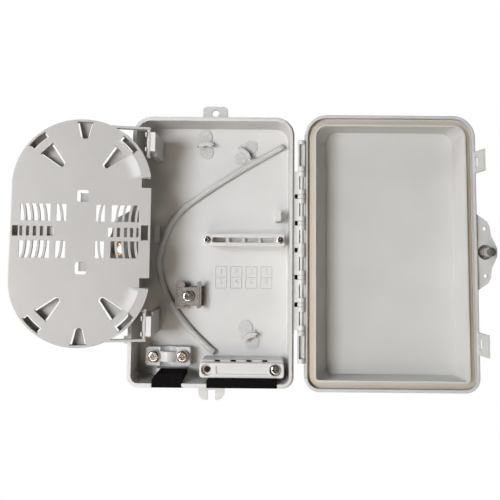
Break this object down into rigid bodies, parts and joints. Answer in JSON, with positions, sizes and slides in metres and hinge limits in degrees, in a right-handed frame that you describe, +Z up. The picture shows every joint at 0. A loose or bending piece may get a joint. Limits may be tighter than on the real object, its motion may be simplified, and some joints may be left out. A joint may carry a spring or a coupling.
{
  "type": "fiber termination box",
  "caption": "Wall-mounted fibre termination box, open: shallow base with cable clamps and adapter bar, side-hinged gasketed cover, fold-out splice tray.",
  "frame": {"origin": "centre of the base's back face, on the wall plane", "axes": "+Z up along the hinges, +X to the right towards the cover's hinge, the box opens towards -Y and the wall is the plane Y = 0"},
  "size_m": [0.3975, 0.0719, 0.2588],
  "materials": {
    "shell": "light warm grey moulded plastic, fine satin grain",
    "cover": "light warm grey moulded plastic, fine satin grain",
    "gasket": "beige foamed-in-place gasket",
    "steel": "drawn steel",
    "tray": "light grey moulded plastic",
    "fitting": "off-white moulded plastic",
    "nickel": "bright nickel plate",
    "brass": "turned brass",
    "zinc": "zinc-plated sheet steel",
    "foam": "black closed-cell foam",
    "tube": "clear soft plastic tube",
    "clip": "translucent plastic",
    "bolt": "dark glass-filled plastic"
  },
  "bodies": {
    "base": {"base_shell": "shell", "cover_hinge_pin": "steel", "adapter_clamp_bar": "fitting", "adapter_bar_screws": "nickel", "adapter_bar_inserts": "brass", "cable_clamp_strap": "fitting", "cable_clamp_screws": "nickel", "cable_clamp_inserts": "brass", "strength_member_bracket": "zinc", "strength_member_plate": "zinc", "strength_member_screw": "nickel", "strength_member_insert": "brass", "drop_clamp_base": "shell", "drop_clamp_bar": "fitting", "drop_clamp_screw": "nickel", "drop_clamp_inserts": "brass", "cable_entry_seal": "foam", "drop_entry_seal": "foam", "loose_tube": "tube", "fiber_clip_1": "clip", "fiber_clip_2": "clip", "fiber_clip_3": "clip", "lock_insert": "brass"},
    "cover": {"cover_shell": "cover", "cover_gasket": "gasket"},
    "tray": {"splice_tray": "tray"},
    "lock": {"lock_bolt": "bolt", "lock_retaining_ring": "bolt"}
  },
  "joints": [
    {"name": "cover_hinge", "type": "hinge", "parent": "base", "child": "cover", "pos_m": [0.075, -0.034, 0.0004], "axis": [0, 0, 1], "range_deg": [-163, 0]},
    {"name": "tray_hinge", "type": "hinge", "parent": "base", "child": "tray", "pos_m": [-0.053, -0.046, 0.0134], "axis": [0, 0, 1], "range_deg": [0, 167.26]},
    {"name": "lock_turn", "type": "hinge", "parent": "cover", "child": "lock", "pos_m": [0.22935, -0.034, 0], "axis": [0, 1, 0], "continuous": true}
  ]
}
